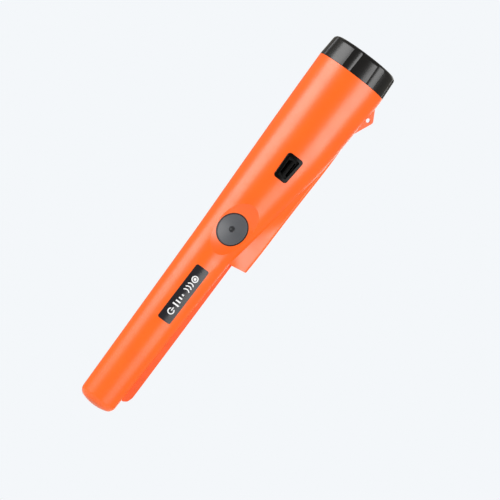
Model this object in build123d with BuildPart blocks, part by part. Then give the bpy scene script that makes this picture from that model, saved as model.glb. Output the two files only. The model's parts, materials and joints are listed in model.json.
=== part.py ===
"""Hand-held pinpointer probe: a metal detector's small finder, built as separate pieces.

Frame: millimetres. +Z runs along the probe from its tip to the battery cap, +X is the side of the blade and
the keel, and the button faces -Y. The origin is on the probe's axis, level with the ledge of the keel, where
a holster carries the probe.
"""

from build123d import *
import math
import os

os.makedirs("parts", exist_ok=True)

# ---- driving dimensions -------------------------------------------------------------------------------
tip_z = -105.0            # lowest point of the tip
probe_top_z = -6.0        # where the slim probe ends and the handle begins to swell
body_top_z = 120.6        # joint between the handle and the cap
cap_top_z = 133.8         # top of the cap, so the whole object is 238.8 long
wall = 2.0                # moulded wall of both shells

tip_side_z = -95.2        # height where the probe's side becomes straight
tip_side_r = 10.85
probe_top_r = 12.95
tip_crown = 2.6           # rise of the slightly crowned tip
tip_corner_r = 4.6
inner_corner_share = 0.6  # how fast the tip corner tightens towards the inside of the wall

# handle sections: height, centre x, radius
handle_sections = [
    (probe_top_z, 0.0, probe_top_r),
    (4.0, 0.24, 13.4),
    (15.7, 0.9, 14.45),
    (45.3, 2.4, 17.02),
    (73.4, 3.75, 19.3),
    (92.0, 3.95, 20.05),
    (107.3, 4.15, 20.62),
    (body_top_z, 4.15, 20.95),
]
head_x = 4.15             # axis of the cap, the neck and the battery

# keel and blade, both on the parting plane y = 0
keel_half = 2.0
keel_edge_r = 1.6
keel_hollow = (-0.25, -0.35)   # how far the flank sinks below a straight line, in x and y
# keel sections: height, outermost x, angle from +X at which the flank leaves the handle
keel_sections = [
    (0.0, 23.3, 39),
    (46.0, 24.0, 37),
    (73.4, 24.45, 28),
    (85.0, 24.25, 24),
    (97.0, 23.2, 30),
]
keel_root_share = 0.985   # the flank starts this far out on the handle's radius
ledge_rise = 1.4          # the ledge climbs this much from the body to the keel's edge
ledge_root_x = 13.9
ledge_edge_x = 23.6
ledge_corner_r = 1.3
blade_low_z = -94.2
blade_tip_x = 15.25
blade_top_x = 14.65
blade_root_x = 9.0        # inside the probe's wall, where the blade's flanks start
blade_nose = [(11.0, -0.5), (14.0, 1.3)]   # x and height above blade_low_z of its lower edge
blade_nose_rise = 4.6     # height above blade_low_z where its outer edge becomes straight
blade_nose_r = 2.2
blade_root_half = 1.6
blade_edge_half = 0.55

# button and its dished surround
button_x = 0.5
button_z = 15.7
button_a = 7.95           # half width
button_b = 8.8           # half height
button_travel = 0.8
dish_r = 27.0             # radius of the spherical thumb dish
dish_bottom_y = -9.0
dish_z = 14.5
bezel_gap = 0.15          # running gap between button and bezel
bezel_w = 0.4

# sounder port
port_x = 2.95
port_low_z = 52.1
port_high_z = 67.35
port_low_w = 8.3
port_high_w = 10.0
port_corner = 1.7
port_back_y = -12.8
port_frame = 1.8          # wall of the frame behind the port

# label plate
label_low_z = -45.4
label_high_z = -10.1
label_x = 0.25
label_w = 8.3
label_corner_r = 1.1
label_depth = 0.35
label_proud = 0.12

# lanyard ear
ear_half = 1.1
ear_low_z = 95.6
ear_high_z = 115.6
ear_apex = (29.3, 107.8)
ear_apex_r = 2.0
ear_hole = (26.3, 107.3)
ear_hole_r = 1.25
ear_root_x = 20.0         # inside the handle's wall
ear_low_x = 23.9
ear_high_x = 24.8

# neck and cap
collar_low_z = 112.0
neck_r = 17.4             # root of the thread
neck_bore_r = 16.0
neck_top_z = 130.6
thread_pitch = 2.5
neck_crest_r = 18.3
neck_thread_z = (123.6, 129.2)
cap_gap = 0.15            # gap between the cap's skirt and the shells
cap_base_r = 20.95
cap_top_r = 20.1
cap_bore_r = 18.7
cap_crest_r = 17.75
cap_roof = 2.4
cap_edge_r = 2.6
flute_count = 8
flute_depth = 0.55
flute_r = 9.0
flute_phase = 18.5        # middle of a flute, degrees from +X
rim_h = 1.2               # plain rim above the flutes
ring_minor = 0.75
fit_gap = 0.05

# circuit board and battery
board_half = 8.0
board_front_y = 1.0
board_t = 1.6
board_low_z = -32.0
board_high_z = 44.0
battery_w = 26.5
battery_d = 17.5
battery_h = 46.5
bulkhead_z = 71.0
bulkhead_t = 2.0

board_back_y = board_front_y + board_t
battery_low_z = bulkhead_z + bulkhead_t
battery_high_z = battery_low_z + battery_h


# ---- shared forms ---------------------------------------------------------------------------------------
def probe_radius(z):
    """Outer radius of the slim probe at height z."""
    rise = (z - tip_side_z) / (probe_top_z - tip_side_z)
    return tip_side_r + rise * (probe_top_r - tip_side_r)


def body_form(inset):
    """The probe and handle as one solid, drawn in by inset all over."""
    low = tip_z + inset
    crown_z = low + tip_crown
    with BuildPart() as form:
        with BuildSketch(Plane.XZ) as outline:
            with BuildLine():
                crown = TangentArc((0, low), (probe_radius(crown_z) - inset, crown_z), tangent=(1, 0))
                Polyline(crown @ 1, (probe_top_r - inset, probe_top_z), (0, probe_top_z), (0, low))
            make_face()
            corner = outline.vertices().sort_by_distance((probe_radius(crown_z) - inset, crown_z, 0))[0]
            fillet(corner, tip_corner_r - inset * inner_corner_share)
        revolve(axis=Axis.Z)
        for z, x, r in handle_sections:
            with BuildSketch(Plane.XY.offset(z)):
                with Locations((x, 0)):
                    Circle(r - inset)
        loft()
    return form.part


def handle_at(z):
    """Centre x and outer radius of the handle at height z, between the stated sections."""
    for (z0, x0, r0), (z1, x1, r1) in zip(handle_sections, handle_sections[1:]):
        if z0 <= z <= z1:
            share = (z - z0) / (z1 - z0)
            return x0 + share * (x1 - x0), r0 + share * (r1 - r0)
    return 0.0, probe_radius(z)


def port_corners(grow):
    """Corners of the sounder port's trapezoid in the XZ plane, grown by grow."""
    low = port_low_w / 2 + grow
    high = port_high_w / 2 + grow
    return [
        (port_x - low, port_low_z - grow),
        (port_x + low, port_low_z - grow),
        (port_x + high, port_high_z + grow),
        (port_x - high, port_high_z + grow),
    ]


def keel_form():
    """The keel: a fin on the parting plane whose flanks sweep into the handle."""
    with BuildPart() as fin:
        for z, edge, angle in keel_sections:
            x, r = handle_at(z)
            reach = keel_root_share * r
            root = (x + reach * math.cos(math.radians(angle)), reach * math.sin(math.radians(angle)))
            flat = (edge - keel_edge_r, keel_half)
            hollow = ((root[0] + flat[0]) / 2 + keel_hollow[0], (root[1] + flat[1]) / 2 + keel_hollow[1])
            with BuildSketch(Plane.XY.offset(z)):
                with BuildLine():
                    ThreePointArc((root[0], -root[1]), (hollow[0], -hollow[1]), (flat[0], -flat[1]))
                    ThreePointArc((flat[0], -flat[1]), (edge, 0), flat)
                    ThreePointArc(flat, hollow, root)
                    Polyline(root, (x, 0), (root[0], -root[1]))
                make_face()
        loft()
        with BuildSketch(Plane.XZ.offset(-20)) as trim:
            with BuildLine():
                Polyline(
                    (0, 0),
                    (ledge_root_x, 0),
                    (ledge_edge_x, ledge_rise),
                    (ledge_edge_x + 2, body_top_z),
                    (0, body_top_z),
                    close=True,
                )
            make_face()
            fillet(trim.vertices().sort_by_distance((ledge_edge_x, ledge_rise, 0))[0], ledge_corner_r)
        extrude(amount=40, mode=Mode.INTERSECT)
    return fin.part


def dish_ball(grow):
    """The ball that hollows the thumb dish, grown by grow."""
    with BuildPart() as ball:
        with Locations((button_x, dish_bottom_y - dish_r, dish_z)):
            Sphere(dish_r + grow)
    return ball.part


def half_shell_cavity():
    """Space inside the shells: open below the neck collar, a round bore through the collar."""
    with BuildPart() as space:
        add(body_form(wall))
        with BuildSketch(Plane.XY.offset(collar_low_z)):
            Rectangle(100, 100)
        extrude(amount=20, mode=Mode.SUBTRACT)
        with BuildSketch(Plane.XY.offset(collar_low_z - 1)):
            with Locations((head_x, 0)):
                Circle(neck_r)
        extrude(amount=20)
    return space.part


outer_form = body_form(0)
keel = keel_form()
cavity = half_shell_cavity()

# places of the four shell screws: x, z
screw_inset = 2.9         # from the inside of the wall to a screw's middle
screw_places = []
for screw_z in (48.5, 66.0):
    centre, radius = handle_at(screw_z)
    for side in (-1, 1):
        screw_places.append((centre + side * (radius - wall - screw_inset), screw_z))
screw_boss_r = 2.4
screw_r = 1.1
screw_head_r = 2.0
screw_head_y = (7.0, 8.6)
screw_end_y = -6.0
screw_room = 0.2          # the head's hole in the shell is this much larger
cross_w = 0.5             # width of a screw's cross recess
cross_depth = 0.9
shell_cross_l = 2.2

gasket_in = (0.65, 1.35)
groove_in = (0.6, 1.4)
gasket_half = 0.5
gasket_top_z = 118.0


def ribbon(insets, half):
    """A ribbon that follows the wall of the shells across the parting plane."""
    with BuildPart() as band:
        add(body_form(insets[0]))
        add(body_form(insets[1]), mode=Mode.SUBTRACT)
        with BuildSketch(Plane.XZ.offset(-half)):
            with Locations((0, (tip_z + gasket_top_z) / 2)):
                Rectangle(100, gasket_top_z - tip_z)
        extrude(amount=2 * half, mode=Mode.INTERSECT)
    return band.part


groove = ribbon(groove_in, gasket_half)


def label_card(outer_inset, inner_inset):
    """The label's outline cut out of the skin between two insets of the body."""
    with BuildPart() as card:
        add(body_form(outer_inset))
        add(body_form(inner_inset), mode=Mode.SUBTRACT)
        with BuildSketch(Plane.XZ):
            with Locations((label_x, (label_low_z + label_high_z) / 2)):
                RectangleRounded(label_w, label_high_z - label_low_z, label_corner_r)
        extrude(amount=30, mode=Mode.INTERSECT)
    return card.part


label_skin = label_card(-label_proud, label_depth)

# ---- front shell ----------------------------------------------------------------------------------------
dish_cut = dish_ball(0)
dish_back = dish_ball(1.8)
skirt_back_y = -4.9
skirt_wall = 0.8
flange_room = 1.0         # button flange room outside the button's outline
flange_room_h = 2.4

with BuildPart() as front_hollow:
    add(cavity)
    add(dish_back, mode=Mode.SUBTRACT)
    with BuildSketch(Plane.XZ.offset(-skirt_back_y)):
        with Locations((button_x, button_z)):
            Ellipse(button_a + flange_room + skirt_wall, button_b + flange_room + skirt_wall)
    extrude(amount=30, mode=Mode.SUBTRACT)
    with BuildSketch(Plane.XZ.offset(-port_back_y)) as port_wall:
        Polygon(*port_corners(port_frame), align=None)
        fillet(port_wall.vertices(), port_corner + port_frame)
    extrude(amount=30, mode=Mode.SUBTRACT)
    with BuildSketch(Plane.XZ):
        with Locations(*screw_places):
            Circle(screw_boss_r)
    extrude(amount=30, mode=Mode.SUBTRACT)
hollow_front = front_hollow.part

with BuildPart() as front_shell:
    add(outer_form)
    add(keel)
    split(bisect_by=Plane.XZ, keep=Keep.TOP)
    add(hollow_front, mode=Mode.SUBTRACT)
    add(groove, mode=Mode.SUBTRACT)
    add(dish_cut, mode=Mode.SUBTRACT)
    add(label_skin, mode=Mode.SUBTRACT)
    with BuildSketch(Plane.XZ.offset(-skirt_back_y)):
        with Locations((button_x, button_z)):
            Ellipse(button_a + bezel_gap + bezel_w, button_b + bezel_gap + bezel_w)
    extrude(amount=30, mode=Mode.SUBTRACT)
    with BuildSketch(Plane.XZ.offset(-skirt_back_y)):
        with Locations((button_x, button_z)):
            Ellipse(button_a + flange_room, button_b + flange_room)
    extrude(amount=flange_room_h, mode=Mode.SUBTRACT)
    with BuildSketch(Plane.XZ.offset(-port_back_y)) as port_hole:
        Polygon(*port_corners(fit_gap), align=None)
        fillet(port_hole.vertices(), port_corner)
    extrude(amount=30, mode=Mode.SUBTRACT)
    with BuildSketch(Plane.XZ):
        with Locations(*screw_places):
            Circle(screw_r)
    extrude(amount=-screw_end_y, mode=Mode.SUBTRACT)
front_shell.part.label = "front_shell"
export_step(front_shell.part, "parts/front_shell.step")

# ---- rear shell -----------------------------------------------------------------------------------------
board_screws_at = [(0, -24), (0, 38)]
board_boss_r = 2.2
board_screw_r = 0.9

with BuildPart() as rear_hollow:
    add(cavity)
    with BuildSketch(Plane.XZ.offset(-20)):
        with Locations(*screw_places):
            Circle(screw_boss_r)
    extrude(amount=20, mode=Mode.SUBTRACT)
    with BuildSketch(Plane.XZ.offset(-20)):
        with Locations(*board_screws_at):
            Circle(board_boss_r)
    extrude(amount=20 - board_back_y, mode=Mode.SUBTRACT)
hollow_rear = rear_hollow.part

with BuildPart() as rear_shell:
    add(outer_form)
    add(keel)
    split(bisect_by=Plane.XZ, keep=Keep.BOTTOM)
    add(hollow_rear, mode=Mode.SUBTRACT)
    add(groove, mode=Mode.SUBTRACT)
    with BuildSketch(Plane.XZ.offset(-30)):
        with Locations(*screw_places):
            Circle(screw_r)
    extrude(amount=30, mode=Mode.SUBTRACT)
    with BuildSketch(Plane.XZ.offset(-30)):
        with Locations(*screw_places):
            Circle(screw_head_r + screw_room)
    extrude(amount=30 - screw_head_y[0], mode=Mode.SUBTRACT)
    with BuildSketch(Plane.XZ.offset(-9)):
        with Locations(*board_screws_at):
            Circle(board_screw_r)
    extrude(amount=9 - board_back_y, mode=Mode.SUBTRACT)
rear_shell.part.label = "rear_shell"
export_step(rear_shell.part, "parts/rear_shell.step")

# ---- seam gasket, shell screws --------------------------------------------------------------------------
with BuildPart() as seam_gasket:
    add(ribbon(gasket_in, gasket_half))
seam_gasket.part.label = "seam_gasket"
export_step(seam_gasket.part, "parts/seam_gasket.step")

with BuildPart() as shell_screws:
    with BuildSketch(Plane.XZ.offset(-screw_head_y[1])):
        with Locations(*screw_places):
            Circle(screw_head_r)
    extrude(amount=screw_head_y[1] - screw_head_y[0])
    with BuildSketch(Plane.XZ.offset(-screw_head_y[0])):
        with Locations(*screw_places):
            Circle(screw_r)
    extrude(amount=screw_head_y[0] - screw_end_y)
    with BuildSketch(Plane.XZ.offset(-screw_head_y[1])):
        with Locations(*screw_places):
            Rectangle(shell_cross_l, cross_w)
            Rectangle(cross_w, shell_cross_l)
    extrude(amount=cross_depth, mode=Mode.SUBTRACT)
shell_screws.part.label = "shell_screws"
export_step(shell_screws.part, "parts/shell_screws.step")

# ---- scraping blade -------------------------------------------------------------------------------------
with BuildPart() as scraping_blade:
    with BuildSketch(Plane.XY.offset(blade_low_z)):
        with BuildLine():
            edge_x = blade_tip_x - blade_edge_half
            Line((blade_root_x, -blade_root_half), (edge_x, -blade_edge_half))
            ThreePointArc((edge_x, -blade_edge_half), (blade_tip_x, 0), (edge_x, blade_edge_half))
            Polyline(
                (edge_x, blade_edge_half),
                (blade_root_x, blade_root_half),
                (blade_root_x, -blade_root_half),
            )
        make_face()
    extrude(amount=-blade_low_z)
    with BuildSketch(Plane.XZ.offset(-blade_root_half)) as side:
        nose = [(x, blade_low_z + rise) for x, rise in blade_nose]
        with BuildLine():
            Polyline(
                (0, nose[0][1]),
                *nose,
                (blade_tip_x, blade_low_z + blade_nose_rise),
                (blade_top_x, 0),
                (0, 0),
                close=True,
            )
        make_face()
        fillet(side.vertices().sort_by_distance((*nose[1], 0))[0], blade_nose_r)
    extrude(amount=2 * blade_root_half, mode=Mode.INTERSECT)
    add(outer_form, mode=Mode.SUBTRACT)
scraping_blade.part.label = "scraping_blade"
export_step(scraping_blade.part, "parts/scraping_blade.step")

# ---- lanyard ear ----------------------------------------------------------------------------------------
with BuildPart() as lanyard_ear:
    with BuildSketch(Plane.XZ.offset(-ear_half)) as plate:
        with BuildLine():
            Polyline(
                (ear_root_x, ear_low_z - 6),
                (ear_low_x, ear_low_z),
                ear_apex,
                (ear_high_x, ear_high_z),
                (ear_root_x, ear_high_z + 4),
                close=True,
            )
        make_face()
        fillet(plate.vertices().sort_by_distance((*ear_apex, 0))[0], ear_apex_r)
        with Locations(ear_hole):
            Circle(ear_hole_r, mode=Mode.SUBTRACT)
    extrude(amount=2 * ear_half)
    add(outer_form, mode=Mode.SUBTRACT)
    add(keel, mode=Mode.SUBTRACT)
lanyard_ear.part.label = "lanyard_ear"
export_step(lanyard_ear.part, "parts/lanyard_ear.step")

# ---- label plate ----------------------------------------------------------------------------------------
with BuildPart() as label_plate:
    add(label_skin)
label_plate.part.label = "label_plate"
export_step(label_plate.part, "parts/label_plate.step")

# ---- threaded neck, cap and its ring --------------------------------------------------------------------
def thread(start_z, turns, root_r, crest_r, root_w, crest_w):
    """One right-hand thread ridge on the head's axis."""
    with BuildPart() as ridge:
        with BuildLine():
            Helix(thread_pitch, turns * thread_pitch, root_r, center=(head_x, 0, start_z))
        with BuildSketch(Plane(origin=(head_x + root_r, 0, start_z), x_dir=(1, 0, 0), z_dir=(0, 1, 0))):
            with BuildLine():
                Polyline(
                    (0, -root_w / 2),
                    (crest_r - root_r, -crest_w / 2),
                    (crest_r - root_r, crest_w / 2),
                    (0, root_w / 2),
                    close=True,
                )
            make_face()
        sweep(is_frenet=True)
    return ridge.part


thread_root_w = 1.25
thread_crest_w = 0.7
thread_bury = 0.2         # depth of the ridge's root inside its wall
neck_low_z = collar_low_z - 2.5
neck_flange_r = neck_r + 0.7
neck_edge = 0.55          # chamfer at the neck's mouth
head_axis = Axis((head_x, 0, 0), (0, 0, 1))
neck_turns = (neck_thread_z[1] - neck_thread_z[0]) / thread_pitch
cap_thread_z = neck_thread_z[0] + thread_pitch / 2
neck_ridge = thread(
    neck_thread_z[0], neck_turns, neck_r - thread_bury, neck_crest_r, thread_root_w, thread_crest_w
)
cap_ridge = thread(
    cap_thread_z, neck_turns, cap_bore_r + thread_bury, cap_crest_r, thread_root_w, thread_crest_w
)

with BuildPart() as threaded_neck:
    with BuildSketch(Plane.XZ):
        with BuildLine():
            Polyline(
                (head_x + neck_bore_r, neck_low_z),
                (head_x + neck_flange_r, neck_low_z),
                (head_x + neck_flange_r, collar_low_z),
                (head_x + neck_r, collar_low_z),
                (head_x + neck_r, neck_top_z - neck_edge),
                (head_x + neck_r - neck_edge, neck_top_z),
                (head_x + neck_bore_r, neck_top_z),
                close=True,
            )
        make_face()
    revolve(axis=head_axis)
    add(neck_ridge)
threaded_neck.part.label = "threaded_neck"
export_step(threaded_neck.part, "parts/threaded_neck.step")

cap_low_z = body_top_z + cap_gap
ring_seat_r = neck_r + 2 * ring_minor + 3 * fit_gap
ring_seat_z = body_top_z + 2 * ring_minor + 0.35


def flute_rod():
    """Cutter for one flute: a leaning rod that follows the taper of the cap's side."""
    with BuildPart() as rod:
        for z, r in ((cap_low_z, cap_base_r), (cap_top_z - rim_h, cap_top_r)):
            with BuildSketch(Plane.XY.offset(z)):
                with Locations((head_x + r + flute_r - flute_depth, 0)):
                    Circle(flute_r)
        loft()
    return rod.part


flute = flute_rod()
with BuildPart() as battery_cap:
    with BuildSketch(Plane.XZ) as section:
        with BuildLine():
            Polyline(
                (head_x, cap_top_z),
                (head_x, cap_top_z - cap_roof),
                (head_x + cap_bore_r, cap_top_z - cap_roof),
                (head_x + cap_bore_r, ring_seat_z),
                (head_x + ring_seat_r, ring_seat_z - 0.2),
                (head_x + ring_seat_r, cap_low_z),
                (head_x + cap_base_r, cap_low_z),
                (head_x + cap_top_r, cap_top_z),
                close=True,
            )
        make_face()
        fillet(section.vertices().sort_by_distance((head_x + cap_top_r, cap_top_z, 0))[0], cap_edge_r)
    revolve(axis=head_axis)
    for turn in range(flute_count):
        add(flute.rotate(head_axis, flute_phase + turn * 360 / flute_count), mode=Mode.SUBTRACT)
    add(cap_ridge)
battery_cap.part.label = "battery_cap"
export_step(battery_cap.part, "parts/battery_cap.step")

with BuildPart() as cap_o_ring:
    with BuildSketch(Plane.XZ):
        ring_r = neck_r + fit_gap + ring_minor
        with Locations((head_x + ring_r, body_top_z + fit_gap + ring_minor)):
            Circle(ring_minor)
    revolve(axis=head_axis)
cap_o_ring.part.label = "cap_o_ring"
export_step(cap_o_ring.part, "parts/cap_o_ring.step")

# foam pad glued under the cap's roof: it holds the battery down
pad_r = 14.5
pad_edge = 0.8
pad_low_z = battery_high_z + 4.9
with BuildPart() as battery_pad:
    with BuildSketch(Plane.XY.offset(pad_low_z)):
        with Locations((head_x, 0)):
            Circle(pad_r)
    extrude(amount=cap_top_z - cap_roof - pad_low_z)
    chamfer(battery_pad.faces().sort_by(Axis.Z)[0].edges(), pad_edge)
battery_pad.part.label = "battery_pad"
export_step(battery_pad.part, "parts/battery_pad.step")

# ---- power button ---------------------------------------------------------------------------------------
button_proud = 0.35       # the button's face stands this far out of the dish
bezel_proud = 0.12
flange_front_y = -7.25
flange_t = 0.8
flange_grow = 0.7
button_edge_r = 0.22
button_reach = 8.0        # long enough to pass through the dish
dimple_r = 2.1
dimple_y = dish_bottom_y - 1.6
plunger_r = 2.0
plunger_tip_y = -3.46
switch_front_y = -2.6
stem_r = 1.7
stem_in_y = -1.4
stem_edge = 0.2

with BuildPart() as power_button:
    with BuildSketch(Plane.XZ.offset(-flange_front_y)):
        with Locations((button_x, button_z)):
            Ellipse(button_a, button_b)
    extrude(amount=button_reach)
    add(dish_ball(-button_proud), mode=Mode.SUBTRACT)
    fillet(power_button.edges().sort_by(Axis.Y)[0], button_edge_r)
    with BuildSketch(Plane.XZ.offset(-flange_front_y - flange_t)):
        with Locations((button_x, button_z)):
            Ellipse(button_a + flange_grow, button_b + flange_grow)
    extrude(amount=flange_t)
    with Locations((button_x, dimple_y, button_z)):
        Sphere(dimple_r, mode=Mode.SUBTRACT)
power_button.part.label = "power_button"
export_step(power_button.part, "parts/power_button.step")

bezel_back_y = skirt_back_y - flange_room_h
with BuildPart() as button_bezel:
    with BuildSketch(Plane.XZ.offset(-bezel_back_y)):
        with Locations((button_x, button_z)):
            Ellipse(button_a + bezel_gap + bezel_w, button_b + bezel_gap + bezel_w)
            Ellipse(button_a + bezel_gap, button_b + bezel_gap, mode=Mode.SUBTRACT)
    extrude(amount=button_reach)
    add(dish_ball(-bezel_proud), mode=Mode.SUBTRACT)
button_bezel.part.label = "button_bezel"
export_step(button_bezel.part, "parts/button_bezel.step")

with BuildPart() as switch_plunger:
    with BuildSketch(Plane.XZ.offset(-plunger_tip_y)):
        with Locations((button_x, button_z)):
            Circle(plunger_r)
    extrude(amount=plunger_tip_y - flange_front_y - flange_t)
switch_plunger.part.label = "switch_plunger"
export_step(switch_plunger.part, "parts/switch_plunger.step")

with BuildPart() as switch_stem:
    with BuildSketch(Plane.XZ.offset(-stem_in_y)):
        with Locations((button_x, button_z)):
            Circle(stem_r)
    extrude(amount=stem_in_y - plunger_tip_y)
    chamfer(switch_stem.edges().sort_by(Axis.Y)[0], stem_edge)
switch_stem.part.label = "switch_stem"
export_step(switch_stem.part, "parts/switch_stem.step")

seal_t = 0.8
seal_hole_r = plunger_r + 0.2
seal_a = button_a + flange_room + skirt_wall
seal_b = button_b + flange_room + skirt_wall
with BuildPart() as button_seal:
    with BuildSketch(Plane.XZ.offset(-skirt_back_y - seal_t)):
        with Locations((button_x, button_z)):
            Ellipse(seal_a, seal_b)
            Circle(seal_hole_r, mode=Mode.SUBTRACT)
    extrude(amount=seal_t)
button_seal.part.label = "button_seal"
export_step(button_seal.part, "parts/button_seal.step")

retainer_t = 1.0
retainer_hole_r = 4.0
with BuildPart() as seal_retainer:
    with BuildSketch(Plane.XZ.offset(-skirt_back_y - seal_t - retainer_t)):
        with Locations((button_x, button_z)):
            Ellipse(seal_a, seal_b)
            Circle(retainer_hole_r, mode=Mode.SUBTRACT)
    extrude(amount=retainer_t)
seal_retainer.part.label = "seal_retainer"
export_step(seal_retainer.part, "parts/seal_retainer.step")

# ---- circuit board and what it carries ------------------------------------------------------------------
board_corner_r = 1.5
with BuildPart() as circuit_board:
    with BuildSketch(Plane.XZ.offset(-board_back_y)):
        with Locations((0, (board_low_z + board_high_z) / 2)):
            RectangleRounded(2 * board_half, board_high_z - board_low_z, board_corner_r)
        with Locations(*board_screws_at):
            Circle(board_screw_r, mode=Mode.SUBTRACT)
    extrude(amount=board_t)
circuit_board.part.label = "circuit_board"
export_step(circuit_board.part, "parts/circuit_board.step")

board_head_r = 1.9
board_head_h = 1.2
board_screw_bite = 5.0    # length in the boss
board_cross_l = 2.4
with BuildPart() as board_screws:
    with BuildSketch(Plane.XZ.offset(-board_front_y)):
        with Locations(*board_screws_at):
            Circle(board_head_r)
    extrude(amount=board_head_h)
    with BuildSketch(Plane.XZ.offset(-board_back_y - board_screw_bite)):
        with Locations(*board_screws_at):
            Circle(board_screw_r)
    extrude(amount=board_t + board_screw_bite)
    with BuildSketch(Plane.XZ.offset(-board_front_y + board_head_h / 2)):
        with Locations(*board_screws_at):
            Rectangle(board_cross_l, cross_w)
            Rectangle(cross_w, board_cross_l)
    extrude(amount=board_head_h, mode=Mode.SUBTRACT)
board_screws.part.label = "board_screws"
export_step(board_screws.part, "parts/board_screws.step")

switch_w = 6.2
switch_corner_r = 0.4
stem_well = 2.4
with BuildPart() as tact_switch:
    with BuildSketch(Plane.XZ.offset(-board_front_y)):
        with Locations((button_x, button_z)):
            RectangleRounded(switch_w, switch_w, switch_corner_r)
    extrude(amount=board_front_y - switch_front_y)
    with BuildSketch(Plane.XZ.offset(-switch_front_y - stem_well)):
        with Locations((button_x, button_z)):
            Circle(stem_r + bezel_gap)
    extrude(amount=stem_well, mode=Mode.SUBTRACT)
tact_switch.part.label = "tact_switch"
export_step(tact_switch.part, "parts/tact_switch.step")

chip_z = -3.0
chip_w = 4.0
chip_h = 8.6
chip_t = 1.5
chip_edge = 0.25
leg_count = 6
leg_pitch = 1.27
leg_size = (1.3, 0.45, 0.6)
with BuildPart() as microcontroller:
    with BuildSketch(Plane.XZ.offset(-board_front_y + leg_size[2] / 3)):
        with Locations((0, chip_z)):
            Rectangle(chip_w, chip_h)
    extrude(amount=chip_t)
    chamfer(microcontroller.faces().sort_by(Axis.Y)[0].edges(), chip_edge)
    with BuildSketch(Plane.XZ.offset(-board_front_y)):
        for side in (-1, 1):
            with Locations((side * (chip_w + 1) / 2, chip_z)):
                with GridLocations(1, leg_pitch, 1, leg_count):
                    Rectangle(leg_size[0], leg_size[1])
    extrude(amount=leg_size[2])
microcontroller.part.label = "microcontroller"
export_step(microcontroller.part, "parts/microcontroller.step")

resistor_x = 5.4
resistor_z = -20.0
resistor_rows = 5
resistor_pitch = 3.0
resistor_size = (2.0, 1.25, 0.6)
with BuildPart() as chip_resistors:
    with BuildSketch(Plane.XZ.offset(-board_front_y)):
        for side in (-1, 1):
            with Locations((side * resistor_x, resistor_z)):
                with GridLocations(1, resistor_pitch, 1, resistor_rows):
                    Rectangle(resistor_size[0], resistor_size[1])
    extrude(amount=resistor_size[2])
chip_resistors.part.label = "chip_resistors"
export_step(chip_resistors.part, "parts/chip_resistors.step")

capacitor_x = 4.4
capacitor_z = 31.0
capacitor_r = 2.5
capacitor_h = 5.4
can_edge_r = 0.4
with BuildPart() as capacitors:
    with BuildSketch(Plane.XZ.offset(-board_front_y)):
        with Locations((-capacitor_x, capacitor_z), (capacitor_x, capacitor_z)):
            Circle(capacitor_r)
    extrude(amount=capacitor_h)
    fillet(capacitors.faces().group_by(Axis.Y)[0].edges(), can_edge_r)
capacitors.part.label = "capacitors"
export_step(capacitors.part, "parts/capacitors.step")

crystal_z = 6.5
crystal_size = (10.2, 4.0, 3.2)
with BuildPart() as crystal:
    with BuildSketch(Plane.XZ.offset(-board_front_y)):
        with Locations((0, crystal_z)):
            SlotOverall(crystal_size[0], crystal_size[1])
    extrude(amount=crystal_size[2])
    fillet(crystal.faces().sort_by(Axis.Y)[0].edges(), can_edge_r)
crystal.part.label = "crystal"
export_step(crystal.part, "parts/crystal.step")

header_x = 5.0
header_w = 5.0
header_d = 4.0
header_low_z = 36.0
header_edge = 0.3
with BuildPart() as terminal_header:
    with BuildSketch(Plane.XZ.offset(-board_back_y - header_d)):
        with Locations((header_x, (header_low_z + board_high_z) / 2)):
            Rectangle(header_w, board_high_z - header_low_z)
    extrude(amount=header_d)
    chamfer(terminal_header.edges().filter_by(Axis.Z), header_edge)
terminal_header.part.label = "terminal_header"
export_step(terminal_header.part, "parts/terminal_header.step")

# ---- sounder --------------------------------------------------------------------------------------------
port_mid_z = (port_low_z + port_high_z) / 2
port_reach = 12.0         # long enough to pass through the wall
grille_proud = 0.45
grille_edge_r = 0.4
window_floor_y = -17.2    # bottom of the recess inside the grille's frame
window_frame = 1.7
window_corner_r = 0.9
grille_bar = (9.4, 1.7)
grille_slot = (8.4, 0.9)
grille_slot_gap = 3.5
with BuildPart() as sounder_grille:
    with BuildSketch(Plane.XZ.offset(-port_back_y)) as port_plug:
        Polygon(*port_corners(0), align=None)
        fillet(port_plug.vertices(), port_corner)
    extrude(amount=port_reach)
    add(body_form(-grille_proud), mode=Mode.INTERSECT)
    fillet(sounder_grille.faces().sort_by(Axis.Y)[0].edges(), grille_edge_r)
    with BuildSketch(Plane.XZ.offset(-window_floor_y)) as window:
        Polygon(*port_corners(-window_frame), align=None)
        fillet(window.vertices(), window_corner_r)
        with Locations((port_x, port_mid_z)):
            SlotOverall(*grille_bar, rotation=90, mode=Mode.SUBTRACT)
    extrude(amount=port_reach, mode=Mode.SUBTRACT)
    with BuildSketch(Plane.XZ.offset(-port_back_y)):
        with Locations((port_x, port_mid_z)):
            with GridLocations(grille_slot_gap, 1, 2, 1):
                SlotOverall(*grille_slot, rotation=90)
    extrude(amount=port_reach, mode=Mode.SUBTRACT)
sounder_grille.part.label = "sounder_grille"
export_step(sounder_grille.part, "parts/sounder_grille.step")

membrane_t = 0.3
film_gap = 0.1
with BuildPart() as grille_membrane:
    with BuildSketch(Plane.XZ.offset(-port_back_y - membrane_t)) as film:
        Polygon(*port_corners(port_frame - film_gap), align=None)
        fillet(film.vertices(), port_corner)
    extrude(amount=membrane_t)
grille_membrane.part.label = "grille_membrane"
export_step(grille_membrane.part, "parts/grille_membrane.step")

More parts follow.
